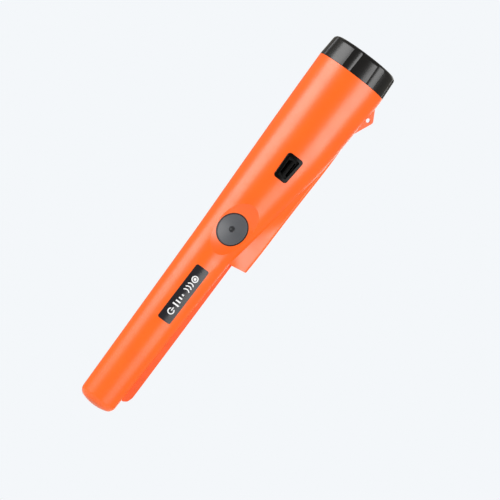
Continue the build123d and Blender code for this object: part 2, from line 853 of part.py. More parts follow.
sounder_r = 6.2
sounder_gasket_t = 1.2
sounder_t = 2.6
sounder_rim = 1.4
disc_r = 3.2
disc_t = 0.25
disc_y = port_back_y + membrane_t + sounder_gasket_t + 0.8
membrane_y = port_back_y + membrane_t
with BuildPart() as sounder_gasket:
    with BuildSketch(Plane.XZ.offset(-membrane_y - sounder_gasket_t)):
        with Locations((port_x, port_mid_z)):
            Circle(sounder_r)
            Circle(sounder_r - sounder_rim, mode=Mode.SUBTRACT)
    extrude(amount=sounder_gasket_t)
sounder_gasket.part.label = "sounder_gasket"
export_step(sounder_gasket.part, "parts/sounder_gasket.step")

with BuildPart() as piezo_sounder:
    with BuildSketch(Plane.XZ.offset(-membrane_y - sounder_gasket_t - sounder_t)):
        with Locations((port_x, port_mid_z)):
            Circle(sounder_r)
    extrude(amount=sounder_t)
    with BuildSketch(Plane.XZ.offset(-disc_y)):
        with Locations((port_x, port_mid_z)):
            Circle(sounder_r - sounder_rim)
    extrude(amount=sounder_t, mode=Mode.SUBTRACT)
    with BuildSketch(Plane.XZ.offset(-disc_y)):
        with Locations((port_x, port_mid_z)):
            Circle(disc_r)
    extrude(amount=disc_t)
piezo_sounder.part.label = "piezo_sounder"
export_step(piezo_sounder.part, "parts/piezo_sounder.step")

# ---- vibration motor ------------------------------------------------------------------------------------
motor_x = 3.6
motor_y = 5.2
motor_r = 3.0
motor_low_z = 52.0
motor_high_z = 62.5
shaft_r = 0.6
weight_low_z = 63.2
weight_high_z = 67.4
weight_r = 2.9
hub_r = 1.3
shaft_over = 0.8          # length of shaft beyond the weight
motor_edge = 0.3
cradle_half = 3.4
cradle_inset = 1.0        # the motor stands this far out of its cradle at each end
cradle_reach = 20.0

with BuildPart() as vibration_motor:
    with BuildSketch(Plane.XY.offset(motor_low_z)):
        with Locations((motor_x, motor_y)):
            Circle(motor_r)
    extrude(amount=motor_high_z - motor_low_z)
    chamfer(vibration_motor.edges().filter_by(GeomType.CIRCLE), motor_edge)
vibration_motor.part.label = "vibration_motor"
export_step(vibration_motor.part, "parts/vibration_motor.step")

with BuildPart() as eccentric_weight:
    with BuildSketch(Plane.XY.offset(motor_high_z)):
        with Locations((motor_x, motor_y)):
            Circle(shaft_r)
    extrude(amount=weight_high_z - motor_high_z + shaft_over)
    with BuildSketch(Plane.XY.offset(weight_low_z)):
        with Locations((motor_x, motor_y)):
            Circle(weight_r)
            Rectangle(2 * weight_r, weight_r, align=(Align.CENTER, Align.MIN), mode=Mode.SUBTRACT)
            Circle(hub_r)
    extrude(amount=weight_high_z - weight_low_z)
eccentric_weight.part.label = "eccentric_weight"
export_step(eccentric_weight.part, "parts/eccentric_weight.step")

with BuildPart() as motor_cradle:
    with BuildSketch(Plane.XY.offset(motor_low_z + cradle_inset)):
        with Locations((motor_x, motor_y)):
            Rectangle(2 * cradle_half, cradle_reach, align=(Align.CENTER, Align.MIN))
            Circle(motor_r, mode=Mode.SUBTRACT)
    extrude(amount=motor_high_z - motor_low_z - 2 * cradle_inset)
    add(body_form(wall + fit_gap), mode=Mode.INTERSECT)
motor_cradle.part.label = "motor_cradle"
export_step(motor_cradle.part, "parts/motor_cradle.step")

# ---- battery and its leads ------------------------------------------------------------------------------
lead_x = {"red": 11.0, "black": -3.2}
lead_y = 11.4
lead_r = 0.7
lead_end_x = {"red": header_x + 1.3, "black": header_x - 1.3}
lead_end_y = board_back_y + header_d / 2
snap_low_z = battery_high_z + 0.3
snap_high_z = battery_high_z + 4.4
snap_half_x = 12.6
snap_half_y = 6.2
snap_corner_r = 3.0
snap_edge_r = 0.5
lead_hole_room = 0.3
battery_corner_r = 1.6
battery_edge = 0.4

with BuildPart() as battery_bulkhead:
    add(body_form(wall + fit_gap))
    with BuildSketch(Plane.XY.offset(bulkhead_z)):
        Rectangle(100, 100)
        for x in lead_x.values():
            with Locations((x, lead_y)):
                Circle(lead_r + lead_hole_room, mode=Mode.SUBTRACT)
    extrude(amount=bulkhead_t, mode=Mode.INTERSECT)
battery_bulkhead.part.label = "battery_bulkhead"
export_step(battery_bulkhead.part, "parts/battery_bulkhead.step")

with BuildPart() as battery_case:
    with BuildSketch(Plane.XY.offset(battery_low_z)):
        with Locations((head_x, 0)):
            RectangleRounded(battery_w, battery_d, battery_corner_r)
    extrude(amount=battery_h)
    chamfer(battery_case.faces().filter_by(Axis.Z).edges(), battery_edge)
battery_case.part.label = "battery_case"
export_step(battery_case.part, "parts/battery_case.step")

terminal_x = 6.35
terminal_h = 2.4
terminal_radii = {-1: 2.9, 1: 3.8}
with BuildPart() as battery_terminals:
    for side, radius in terminal_radii.items():
        with BuildSketch(Plane.XY.offset(battery_high_z)):
            with Locations((head_x + side * terminal_x, 0)):
                Circle(radius)
        extrude(amount=terminal_h)
battery_terminals.part.label = "battery_terminals"
export_step(battery_terminals.part, "parts/battery_terminals.step")

with BuildPart() as battery_snap:
    with BuildSketch(Plane.XY.offset(snap_low_z)):
        with Locations((head_x, 0)):
            RectangleRounded(2 * snap_half_x, 2 * snap_half_y, snap_corner_r)
    extrude(amount=snap_high_z - snap_low_z)
    fillet(battery_snap.faces().sort_by(Axis.Z)[-1].edges(), snap_edge_r)
    add(battery_terminals.part, mode=Mode.SUBTRACT)
battery_snap.part.label = "battery_snap"
export_step(battery_snap.part, "parts/battery_snap.step")

leads = {}
lead_exit = {"red": 4.0, "black": -4.0}    # from the head's axis
lead_z = (snap_low_z + snap_high_z) / 2
lead_drop = 7.0
lead_turn_z = (52.5, 48.5)                 # where a lead leaves the wall and where it faces the board
lead_bends = [2.2, 3.0, 2.5, 1.6]
for colour in ("red", "black"):
    x = lead_x[colour]
    exit_x = head_x + lead_exit[colour]
    route = [
        (exit_x, snap_half_y, lead_z),
        (exit_x, lead_y, lead_z),
        (x, lead_y, lead_z - lead_drop),
        (x, lead_y, lead_turn_z[0]),
        (lead_end_x[colour], lead_end_y, lead_turn_z[1]),
        (lead_end_x[colour], lead_end_y, board_high_z),
    ]
    with BuildPart() as lead:
        with BuildLine() as run:
            FilletPolyline(*route, radius=lead_bends)
        with BuildSketch(Plane(origin=run.line @ 0, z_dir=run.line % 0)):
            Circle(lead_r)
        sweep()
    leads[colour] = lead.part

battery_lead_red = leads["red"]
battery_lead_red.label = "battery_lead_red"
export_step(battery_lead_red, "parts/battery_lead_red.step")
battery_lead_black = leads["black"]
battery_lead_black.label = "battery_lead_black"
export_step(battery_lead_black, "parts/battery_lead_black.step")

# ---- coils ----------------------------------------------------------------------------------------------
rod_r = 4.0
rod_edge = 0.3
rod_low_z = -97.0
rod_high_z = -39.0
former_r = 5.2
flange_r = 8.2
former_low_z = -94.0
former_high_z = -40.0
flange_gap_z = [(-94.0, -92.6), (-67.6, -66.4), (-41.4, -40.0)]
wire_pitch = 1.0

with BuildPart() as ferrite_rod:
    with BuildSketch(Plane.XY.offset(rod_low_z)):
        Circle(rod_r)
    extrude(amount=rod_high_z - rod_low_z)
    chamfer(ferrite_rod.edges().filter_by(GeomType.CIRCLE), rod_edge)
ferrite_rod.part.label = "ferrite_rod"
export_step(ferrite_rod.part, "parts/ferrite_rod.step")

with BuildPart() as coil_former:
    with BuildSketch(Plane.XY.offset(former_low_z)):
        Circle(former_r)
        Circle(rod_r, mode=Mode.SUBTRACT)
    extrude(amount=former_high_z - former_low_z)
    for low, high in flange_gap_z:
        with BuildSketch(Plane.XY.offset(low)):
            Circle(flange_r)
            Circle(rod_r, mode=Mode.SUBTRACT)
        extrude(amount=high - low)
coil_former.part.label = "coil_former"
export_step(coil_former.part, "parts/coil_former.step")


def winding(low, high, outer_r):
    """A coil on the former whose outside shows its turns as rounded ridges."""
    turns = int((high - low) / wire_pitch)
    pitch = (high - low) / turns
    with BuildPart() as coil:
        with BuildSketch(Plane.XZ):
            with BuildLine():
                Polyline((outer_r, low), (former_r, low), (former_r, high), (outer_r, high))
                for turn in range(turns):
                    z = low + turn * pitch
                    ThreePointArc((outer_r, z), (outer_r + pitch / 3, z + pitch / 2), (outer_r, z + pitch))
            make_face()
        revolve(axis=Axis.Z)
    return coil.part


transmit_coil_r = 7.2
receive_coil_r = 6.6
transmit_coil = winding(flange_gap_z[0][1], flange_gap_z[1][0], transmit_coil_r)
transmit_coil.label = "transmit_coil"
export_step(transmit_coil, "parts/transmit_coil.step")
receive_coil = winding(flange_gap_z[1][1], flange_gap_z[2][0], receive_coil_r)
receive_coil.label = "receive_coil"
export_step(receive_coil, "parts/receive_coil.step")

coil_lead_r = 0.4
coil_lead_x = (3.0, 4.0)  # at the former, and where the lead is soldered
coil_lead_y = 4.6
coil_lead_bends = [1.5, 1.2]
with BuildPart() as coil_leads:
    for side in (-1, 1):
        with BuildLine() as run:
            FilletPolyline(
                (side * coil_lead_x[0], coil_lead_y, former_high_z),
                (side * coil_lead_x[0], coil_lead_y, former_high_z + 4),
                (side * coil_lead_x[1], board_back_y + coil_lead_r, board_low_z - 1.5),
                (side * coil_lead_x[1], board_back_y + coil_lead_r, board_low_z + 4),
                radius=coil_lead_bends,
            )
        with BuildSketch(Plane(origin=run.line @ 0, z_dir=run.line % 0)):
            Circle(coil_lead_r)
        sweep()
coil_leads.part.label = "coil_leads"
export_step(coil_leads.part, "parts/coil_leads.step")

cushion_low_z = -101.7
cushion_edge_r = 0.8
with BuildPart() as tip_cushion:
    with BuildSketch(Plane.XY.offset(cushion_low_z)):
        Circle(former_r)
    extrude(amount=rod_low_z - cushion_low_z)
    fillet(tip_cushion.edges().filter_by(GeomType.CIRCLE), cushion_edge_r)
tip_cushion.part.label = "tip_cushion"
export_step(tip_cushion.part, "parts/tip_cushion.step")
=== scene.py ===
"""Studio picture of a hand-held pinpointer: an orange moulded probe with a black screw cap, seen against a
plain pale ground. Sizes are metres unless a name says otherwise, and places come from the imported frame."""

import json
import math

import bmesh
import bpy
from mathutils import Matrix, Vector
from mathutils.bvhtree import BVHTree


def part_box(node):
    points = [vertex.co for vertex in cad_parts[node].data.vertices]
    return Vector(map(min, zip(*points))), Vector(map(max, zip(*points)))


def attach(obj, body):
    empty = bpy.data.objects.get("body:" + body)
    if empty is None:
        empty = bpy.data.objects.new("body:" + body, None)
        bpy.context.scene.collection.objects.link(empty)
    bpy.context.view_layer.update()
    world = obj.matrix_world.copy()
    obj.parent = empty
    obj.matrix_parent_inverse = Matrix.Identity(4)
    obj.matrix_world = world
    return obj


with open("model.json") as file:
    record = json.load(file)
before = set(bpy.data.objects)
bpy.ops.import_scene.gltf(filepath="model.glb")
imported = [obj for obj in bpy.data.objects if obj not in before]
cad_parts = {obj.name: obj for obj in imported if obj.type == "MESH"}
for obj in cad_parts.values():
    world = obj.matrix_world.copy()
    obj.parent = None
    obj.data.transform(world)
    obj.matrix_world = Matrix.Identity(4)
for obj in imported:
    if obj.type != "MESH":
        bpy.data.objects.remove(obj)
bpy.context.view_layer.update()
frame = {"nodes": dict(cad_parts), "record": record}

mm = 0.001
nodes = frame["nodes"]
scene = bpy.context.scene
scene.view_settings.view_transform = "Standard"


# ---- camera ---------------------------------------------------------------------------------------------
view_azimuth = math.radians(-13.2)
view_roll = math.radians(37.16)       # the probe leans this far to the right of upright
camera_distance = 1.4
camera_lens = 186.5
aim = (17.1 * mm, 12.7 * mm)          # to the right across the view, and up the probe

across = Vector((math.cos(view_azimuth), math.sin(view_azimuth), 0))
back = Vector((math.sin(view_azimuth), -math.cos(view_azimuth), 0))
along = Vector((0, 0, 1))
camera_right = math.sin(view_roll) * along + math.cos(view_roll) * across
camera_up = math.cos(view_roll) * along - math.sin(view_roll) * across
target = aim[0] * across + aim[1] * along

camera = bpy.data.objects.new("camera", bpy.data.cameras.new("camera"))
scene.collection.objects.link(camera)
camera.data.lens = camera_lens
camera.data.sensor_width = 36
camera.data.clip_start = 0.05
camera.matrix_world = (
    Matrix.Translation(target + camera_distance * back)
    @ Matrix((camera_right, camera_up, back)).transposed().to_4x4()
)
scene.camera = camera


# ---- light and ground -----------------------------------------------------------------------------------
def linear(hex_colour):
    """Linear RGBA of an sRGB hex colour such as "FF7020"."""
    channels = [int(hex_colour[i:i + 2], 16) / 255 for i in (0, 2, 4)]
    return (*[c / 12.92 if c <= 0.04045 else ((c + 0.055) / 1.055) ** 2.4 for c in channels], 1)


def put(tree, kind, inputs=None, **settings):
    """Adds a node with its settings; an input is a value, or a socket to link from."""
    node = tree.nodes.new(kind)
    for name, value in settings.items():
        setattr(node, name, value)
    for name, value in (inputs or {}).items():
        if isinstance(value, bpy.types.NodeSocket):
            tree.links.new(value, node.inputs[name])
        else:
            node.inputs[name].default_value = value
    return node


def softbox(name, turn, height, size, power, distance=0.9):
    """A soft rectangular light turned round the probe by an angle from the viewer, upright and facing it."""
    angle = view_azimuth + math.radians(turn)
    out = Vector((math.sin(angle), -math.cos(angle), 0))
    data = bpy.data.lights.new(name, "AREA")
    data.shape = "RECTANGLE"
    data.size, data.size_y = size
    data.energy = power
    lamp = bpy.data.objects.new(name, data)
    scene.collection.objects.link(lamp)
    side = along.cross(out)
    lamp.matrix_world = (
        Matrix.Translation(distance * out + height * along)
        @ Matrix((side, along, out)).transposed().to_4x4()
    )


softbox("softbox_left", -67, 0.23, (0.74, 0.68), 8.7)
softbox("softbox_right", 53, 0.23, (0.72, 0.68), 7.5)
softbox("softbox_rear", 172, 0.05, (0.6, 1.0), 3)

world = bpy.data.worlds.new("studio")
scene.world = world
world.use_nodes = True
sky = world.node_tree
sky.nodes.clear()
seen = put(sky, "ShaderNodeBackground", {"Color": linear("F4F7FA"), "Strength": 1.0})
lit = put(sky, "ShaderNodeBackground", {"Color": linear("F4EFE4"), "Strength": 0.34})
rays = put(sky, "ShaderNodeLightPath")
is_seen = rays.outputs["Is Camera Ray"]
pick = put(sky, "ShaderNodeMixShader", {0: is_seen, 1: lit.outputs[0], 2: seen.outputs[0]})
put(sky, "ShaderNodeOutputWorld", {"Surface": pick.outputs[0]})

floor_z = -0.25
floor_radius = 0.5
floor_mesh = bpy.data.meshes.new("floor")
shape = bmesh.new()
bmesh.ops.create_circle(
    shape,
    cap_ends=True,
    segments=96,
    radius=floor_radius,
    matrix=Matrix.Translation((0, 0, floor_z)),
)
shape.to_mesh(floor_mesh)
shape.free()
floor = bpy.data.objects.new("floor", floor_mesh)
scene.collection.objects.link(floor)


# ---- materials ------------------------------------------------------------------------------------------
def start(name, base, roughness, **sockets):
    """A new material: its tree, its Principled shader and its object coordinates."""
    material = bpy.data.materials.new(name)
    material.use_nodes = True
    tree = material.node_tree
    tree.nodes.clear()
    shader = put(tree, "ShaderNodeBsdfPrincipled", {"Base Color": linear(base), "Roughness": roughness})
    for socket, value in sockets.items():
        shader.inputs[socket.replace("_", " ")].default_value = value
    put(tree, "ShaderNodeOutputMaterial", {"Surface": shader.outputs[0]})
    place = put(tree, "ShaderNodeTexCoord").outputs["Object"]
    return material, tree, shader, place


def noise(tree, place, size_mm, detail=3.0):
    """Noise whose lumps are about size_mm across."""
    inputs = {"Vector": place, "Scale": 1 / (size_mm * mm), "Detail": detail}
    return put(tree, "ShaderNodeTexNoise", inputs).outputs["Fac"]


def cells(tree, place, size_mm):
    """Distance from the middles of cells about size_mm across, for grains and pores."""
    inputs = {"Vector": place, "Scale": 1 / (size_mm * mm)}
    return put(tree, "ShaderNodeTexVoronoi", inputs).outputs["Distance"]


def spread(tree, value, low, high, start_at=0.3, end_at=0.7):
    """Maps the stretch of a value from start_at to end_at onto low to high."""
    inputs = {"Value": value, "From Min": start_at, "From Max": end_at, "To Min": low, "To Max": high}
    return put(tree, "ShaderNodeMapRange", inputs).outputs["Result"]


def tint(tree, value, first, second):
    """Colour between two hex colours, by a 0 to 1 value."""
    inputs = {0: value, 6: linear(first), 7: linear(second)}
    return put(tree, "ShaderNodeMix", inputs, data_type="RGBA").outputs[2]


def relief(tree, shader, height, depth_mm):
    """Bump of a given depth."""
    bump = put(tree, "ShaderNodeBump", {"Height": height, "Distance": depth_mm * mm})
    tree.links.new(bump.outputs[0], shader.inputs["Normal"])


def moulded(name, first, second, roughness, grain_mm, grain_depth_mm, mottle_mm=9, **sockets):
    """A moulded or cast finish: slow drift between two near colours, a fine grain and uneven gloss."""
    material, tree, shader, place = start(name, first, roughness, **sockets)
    drift = spread(tree, noise(tree, place, mottle_mm, 1), 0, 1, 0.2, 0.8)
    tree.links.new(tint(tree, drift, first, second), shader.inputs["Base Color"])
    patches = noise(tree, place, mottle_mm / 2, 1)
    gloss = spread(tree, patches, roughness * 0.94, roughness * 1.06, 0.2, 0.8)
    tree.links.new(gloss, shader.inputs["Roughness"])
    relief(tree, shader, noise(tree, place, grain_mm, 2), grain_depth_mm)
    return material


def shading(material):
    """The tree, the Principled shader and the object coordinates that start gave a material."""
    tree = material.node_tree
    shader = next(node for node in tree.nodes if node.type == "BSDF_PRINCIPLED")
    place = next(node for node in tree.nodes if node.type == "TEX_COORD").outputs["Object"]
    return tree, shader, place


def axes(tree, place):
    """The x, y and z of the object coordinates."""
    split = put(tree, "ShaderNodeSeparateXYZ", {0: place})
    return split.outputs[0], split.outputs[1], split.outputs[2]


def maths(tree, operation, first, second=0.0):
    """One step of arithmetic."""
    return put(tree, "ShaderNodeMath", {0: first, 1: second}, operation=operation).outputs[0]


def beyond(tree, value, edge, soft=0.00005):
    """0 below an edge and 1 above it, over a short step that is soft each way."""
    return spread(tree, value, 0, 1, edge - soft, edge + soft)


def overpaint(tree, shader, where, colour, roughness, metallic=0.0):
    """Another finish on the part of a piece where a mask is 1."""
    for socket, value in (("Base Color", linear(colour)), ("Roughness", roughness), ("Metallic", metallic)):
        held = shader.inputs[socket]
        old = held.links[0].from_socket if held.is_linked else held.default_value
        if socket == "Base Color":
            mix = put(tree, "ShaderNodeMix", {0: where, 6: old, 7: value}, data_type="RGBA").outputs[2]
        else:
            mix = put(tree, "ShaderNodeMix", {0: where, 2: old, 3: value}).outputs[0]
        tree.links.new(mix, held)


def metal(name, colour, worn, roughness, grain_mm, stretch=(1, 1, 1)):
    """Bare or plated metal: a drift of tarnish and a grain, drawn out where it was turned or rolled."""
    material, tree, shader, place = start(name, colour, roughness, Metallic=1.0)
    drift = spread(tree, noise(tree, place, 3), 0, 1)
    tree.links.new(tint(tree, drift, colour, worn), shader.inputs["Base Color"])
    drawn = put(tree, "ShaderNodeMapping", {"Vector": place, "Scale": stretch}).outputs[0]
    grain = noise(tree, drawn, grain_mm, 4)
    tree.links.new(spread(tree, grain, roughness * 0.8, roughness * 1.3), shader.inputs["Roughness"])
    relief(tree, shader, grain, 0.01)
    return material


def two_finish(material, axis, edge, colour, roughness, metallic=0.0, centre=0.0):
    """Another finish on what lies further than edge from centre along an axis, 0 to 2 for x to z."""
    tree, shader, place = shading(material)
    away = maths(tree, "ABSOLUTE", maths(tree, "SUBTRACT", axes(tree, place)[axis], centre))
    overpaint(tree, shader, beyond(tree, away, edge), colour, roughness, metallic)
    return material


def shell_abs():
    """ABS moulded in a polished tool: orange under a satin sheen, with the seam's hairline at y = 0."""
    seam_core = 0.06 * mm                 # half widths of the hairline's full colour and of its soft edge
    seam_edge = 0.2 * mm
    material = moulded("moulded_abs_orange", "FF680F", "FC610B", 0.34, 0.6, 0.004, mottle_mm=16, IOR=1.60)
    tree, shader, place = shading(material)
    away = maths(tree, "ABSOLUTE", axes(tree, place)[1])
    overpaint(tree, shader, spread(tree, away, 1, 0, seam_core, seam_edge), "A83C06", 0.6)
    return material


def soft_touch_grey():
    """Soft-touch grey elastomer over a hard button: satin and finely grained, with painted shade darkening
    its dimple.
    """
    dimple_shade_core = 1.35 * mm               # radii of the painted shade's full colour in the dimple and of its soft edge
    dimple_shade_edge = 1.75 * mm
    low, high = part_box("power_button")
    material = moulded("soft_touch_grey", "4C4F54", "54575C", 0.42, 0.35, 0.006, IOR=1.5)
    tree, shader, place = shading(material)
    x, _, z = axes(tree, place)
    off_x = maths(tree, "SUBTRACT", x, (low.x + high.x) / 2)
    off_z = maths(tree, "SUBTRACT", z, (low.z + high.z) / 2)
    squares = maths(tree, "ADD", maths(tree, "POWER", off_x, 2.0), maths(tree, "POWER", off_z, 2.0))
    painted_dimple_shade = spread(tree, maths(tree, "SQRT", squares), 1, 0, dimple_shade_core, dimple_shade_edge)
    # painted shade: a darker grey dot in the dimple stands in for the shade that falls in it
    overpaint(tree, shader, painted_dimple_shade, "26282C", 0.5)
    return material


def epoxy_chip():
    """Epoxy moulding compound, matt black, with tin-plated legs outside the body's width."""
    body_half = 2.02 * mm
    material = moulded("epoxy_chip_black", "17181A", "1E1F21", 0.55, 0.25, 0.01, IOR=1.55)
    return two_finish(material, 0, body_half, "C9CBCC", 0.3, 1.0)


def glazed_alumina():
    """Glazed alumina chip resistors: bright tin plate on all that lies out from the board's middle."""
    plate_from = 0.62 * mm
    material = moulded("glazed_alumina_black", "1B1B1E", "232327", 0.30, 0.3, 0.004, IOR=1.6)
    return two_finish(material, 0, plate_from, "C4C7C9", 0.32, 1.0)


def shrunk_sleeve():
    """Heat-shrunk PVC sleeve, dark blue, on an aluminium can whose front end shows bare."""
    sleeve_end = 4.32 * mm
    material = moulded("shrunk_pvc_sleeve", "16243C", "1B2B47", 0.30, 0.5, 0.004, IOR=1.54)
    return two_finish(material, 1, sleeve_end, "C9CCCF", 0.35, 1.0)


def ptfe_film():
    """Expanded PTFE film: a fine matt black web that lets sound through and keeps water out."""
    material, tree, shader, place = start("expanded_ptfe_film", "0E0E10", 0.7, IOR=1.38)
    web = cells(tree, place, 0.35)
    relief(tree, shader, web, 0.05)
    tree.links.new(tint(tree, web, "0B0B0C", "1C1C1F"), shader.inputs["Base Color"])
    return material


# the same ABS for the blade, its orange painted darker and redder as the blade's shade, and duller from its
# textured tool
blade_abs_painted_shade = moulded("moulded_abs_blade_painted_shade", "F45A0E", "EA520B", 0.58, 0.5, 0.006, IOR=1.44)
# black ABS from a polished tool: deep and glossy, so the flutes' edges catch the lamps
cap_abs = moulded("gloss_abs_black", "050506", "08080A", 0.27, 0.7, 0.002, mottle_mm=14, IOR=1.50)
# printed polycarbonate overlay: smooth and dark with an even shine
overlay = moulded("polycarbonate_label", "12121A", "181820", 0.28, 1.2, 0.001, IOR=1.52)
# screen ink on the overlay: flat white, slightly duller than the film
ink = moulded("screen_ink_white", "F2F3F4", "E8EAEC", 0.45, 0.4, 0.003, IOR=1.48)
# matte black plastic bezel ring, dull: a black ring put in the gap round the button as painted shade where
# the gap's shadow falls, so it reads as the button's thin outline
bezel_black = moulded("matte_plastic_bezel_gap_shade", "0C0C0D", "121213", 0.40, 0.4, 0.002, IOR=1.5)
# gloss black ABS grille: nearly black, its shine held low so that the slots stay dark
grille_abs = moulded("gloss_abs_grille", "020303", "040505", 0.26, 0.6, 0.002, IOR=1.24)
# moulded nitrile rubber: matt black with a bloom of grey dust
nitrile = moulded("nitrile_rubber_black", "121213", "1D1D1E", 0.62, 0.4, 0.008, IOR=1.5)
# moulded silicone rubber: brick red under a soft sheen
silicone = moulded("silicone_rubber_red", "B5301F", "A82818", 0.50, 0.6, 0.006, IOR=1.42)
# injection-moulded nylon 66: dull and even, black on the switch and brackets, white on the mounts
black_nylon = moulded("nylon_66_black", "1A1A1B", "232324", 0.46, 0.4, 0.006, IOR=1.53)
white_nylon = moulded("nylon_66_white", "E4E1D8", "DAD6CC", 0.45, 0.4, 0.006, IOR=1.53)
# zinc-plated steel screws: bright, with a faint blue-grey drift of the plating
screw_steel = metal("zinc_plated_steel", "B9BEC4", "A5ABB3", 0.30, 0.5)
# nickel-plated brass: a warm bright silver, as snap terminals are
nickel = metal("nickel_plated_brass", "CDC8BC", "B8B2A4", 0.22, 0.6)
# drawn steel can of the motor and the crystal: fine lines along the drawing
motor_steel = metal("drawn_steel_can", "C4C6C8", "AEB1B4", 0.26, 0.25, stretch=(1, 1, 0.15))
crystal_steel = metal("cold_rolled_steel_can", "D0D2D2", "BFC2C3", 0.20, 0.3, stretch=(1, 1, 0.2))
# sintered tungsten alloy: dark, heavy grey with an open grain
tungsten = metal("sintered_tungsten", "6E6F72", "5A5B5E", 0.48, 0.3)
# polyester sounder case, black and dull
sounder_pbt = moulded("polyester_case_black", "141415", "1B1B1C", 0.45, 0.3, 0.006, IOR=1.57)


def solder_mask():
    """FR-4 board under green solder mask: glossy, with the tracks beneath it as paler raised lines."""
    field_mm = 5.0                        # the size that the pattern of tracks is scaled to
    material, tree, shader, place = start("fr4_solder_mask", "0D4A2A", 0.32, IOR=1.5, Coat_Weight=0.4)
    flat = put(tree, "ShaderNodeMapping", {"Vector": place, "Rotation": (math.pi / 2, 0, 0)}).outputs[0]
    inputs = {
        "Vector": flat,
        "Scale": 1 / (field_mm * mm),
        "Mortar Size": 0.09,
        "Brick Width": 0.9,
        "Row Height": 0.32,
        "Color1": linear("0D4A2A"),
        "Color2": linear("0A4224"),
        "Mortar": linear("1C7042"),
    }
    tracks = put(tree, "ShaderNodeTexBrick", inputs, offset=0.37)
    tree.links.new(tracks.outputs["Color"], shader.inputs["Base Color"])
    relief(tree, shader, tracks.outputs["Fac"], 0.03)
    return material


def wound_wire():
    """Enamelled copper wire, wound close: glossy red-brown turns, drawn coarser than real to show, with
    painted shade in the grooves between them and lighter copper on their crests.
    """
    turn_mm = 1.0
    finish = {"Metallic": 0.9, "Coat_Weight": 0.6}
    material, tree, shader, place = start("enamelled_copper_wire", "B4562A", 0.28, **finish)
    inputs = {"Vector": place, "Scale": math.pi / (10 * turn_mm * mm), "Distortion": 0.0}
    turns = put(tree, "ShaderNodeTexWave", inputs, bands_direction="Z").outputs["Fac"]
    # painted shade: darker brown in the grooves between turns, lighter copper on their crests
    tree.links.new(tint(tree, turns, "6E2C12", "C8703C"), shader.inputs["Base Color"])
    relief(tree, shader, turns, 0.08)
    return material


def battery_jacket():
    """Lacquered steel jacket of the battery: black below, a copper band above, and bright rolled ends."""
    rolled = 0.5 * mm                     # how far the bright rolled edge comes onto the side
    black_share = 0.68
    low, high = [corner.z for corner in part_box("battery_case")]
    height = high - low
    finish = {"IOR": 1.5, "Coat_Weight": 0.5}
    material = moulded("lacquered_steel_jacket", "15161A", "1A1B20", 0.28, 0.6, 0.002, **finish)
    two_finish(material, 2, low + black_share * height, "B8692E", 0.3, 0.8)
    return two_finish(material, 2, height / 2 - rolled, "BEC1C4", 0.3, 1.0, centre=(low + high) / 2)


def stranded_pvc(name, first, second):
    """Extruded PVC insulation on a flexible lead: glossy, with faint lines along the extrusion."""
    return moulded(name, first, second, 0.30, 0.25, 0.006, mottle_mm=5, IOR=1.54)


def sintered_ferrite():
    """Ground ferrite: charcoal grey, dull, with the open grain of pressed powder."""
    material, tree, shader, place = start("sintered_ferrite", "2A2B2E", 0.62, IOR=2.0)
    grain = cells(tree, place, 0.5)
    tree.links.new(tint(tree, grain, "222326", "3A3B3F"), shader.inputs["Base Color"])
    relief(tree, shader, grain, 0.03)
    return material


def cell_foam():
    """Closed-cell polyurethane foam: pale grey, matt, with pores drawn at 0.8 mm so that they show, their
    insides darkened as painted shade.
    """
    material, tree, shader, place = start("polyurethane_foam_grey", "5F6266", 0.92, IOR=1.45)
    pores = cells(tree, place, 0.8)
    depth = spread(tree, pores, 0, 1, 0.1, 0.6)
    # painted shade: darker grey inside the pores, lighter between them
    tree.links.new(tint(tree, depth, "3C3E41", "6C6F73"), shader.inputs["Base Color"])
    relief(tree, shader, pores, 0.25)
    return material


# painted studio board: flat, nearly white
board_paint = moulded("painted_board_white", "F6F7F8", "F2F4F6", 0.8, 2, 0.01, mottle_mm=60, IOR=1.45)
floor.data.materials.append(board_paint)

materials = {
    "orange_abs": shell_abs(),
    "blade_orange": blade_abs_painted_shade,
    "cap_black": cap_abs,
    "label_black": overlay,
    "button_grey": soft_touch_grey(),
    "bezel_black": bezel_black,
    "grille_black": grille_abs,
    "seal_rubber": nitrile,
    "silicone_red": silicone,
    "black_nylon": black_nylon,
    "white_nylon": white_nylon,
    "screw_steel": screw_steel,
    "board_green": solder_mask(),
    "chip_black": epoxy_chip(),
    "chip_ceramic": glazed_alumina(),
    "capacitor_sleeve": shrunk_sleeve(),
    "crystal_can": crystal_steel,
    "film_black": ptfe_film(),
    "sounder_case": sounder_pbt,
    "motor_can": motor_steel,
    "tungsten_weight": tungsten,
    "battery_jacket": battery_jacket(),
    "terminal_nickel": nickel,
    "lead_red": stranded_pvc("pvc_insulation_red", "B01810", "A01410"),
    "lead_black": stranded_pvc("pvc_insulation_black", "121213", "1A1A1B"),
    "ferrite_grey": sintered_ferrite(),
    "coil_copper": wound_wire(),
    "foam_grey": cell_foam(),
}

slot_of = {row["node"]: row["material_slot"] for row in frame["record"]["subparts"]}
for name, node in nodes.items():
    for holder in node.material_slots:
        holder.material = materials[slot_of[name]]


# ---- printed mark on the label and raised marks on the cap ----------------------------------------------
def stroke_arc(shape, x, z, radius, width, first=0, last=360):
    """A band of an arc on the XZ plane: a short edge spun round its centre."""
    whole = last - first >= 360
    turn = math.radians(first)
    ends = [
        shape.verts.new((x + r * math.cos(turn), 0, z + r * math.sin(turn)))
        for r in (radius - width / 2, radius + width / 2)
    ]
    bmesh.ops.spin(
        shape,
        geom=ends + [shape.edges.new(ends)],
        cent=(x, 0, z),
        axis=(0, -1, 0),
        angle=math.radians(last - first),
        steps=max(8, int((last - first) / 9)),
        use_merge=whole,
    )


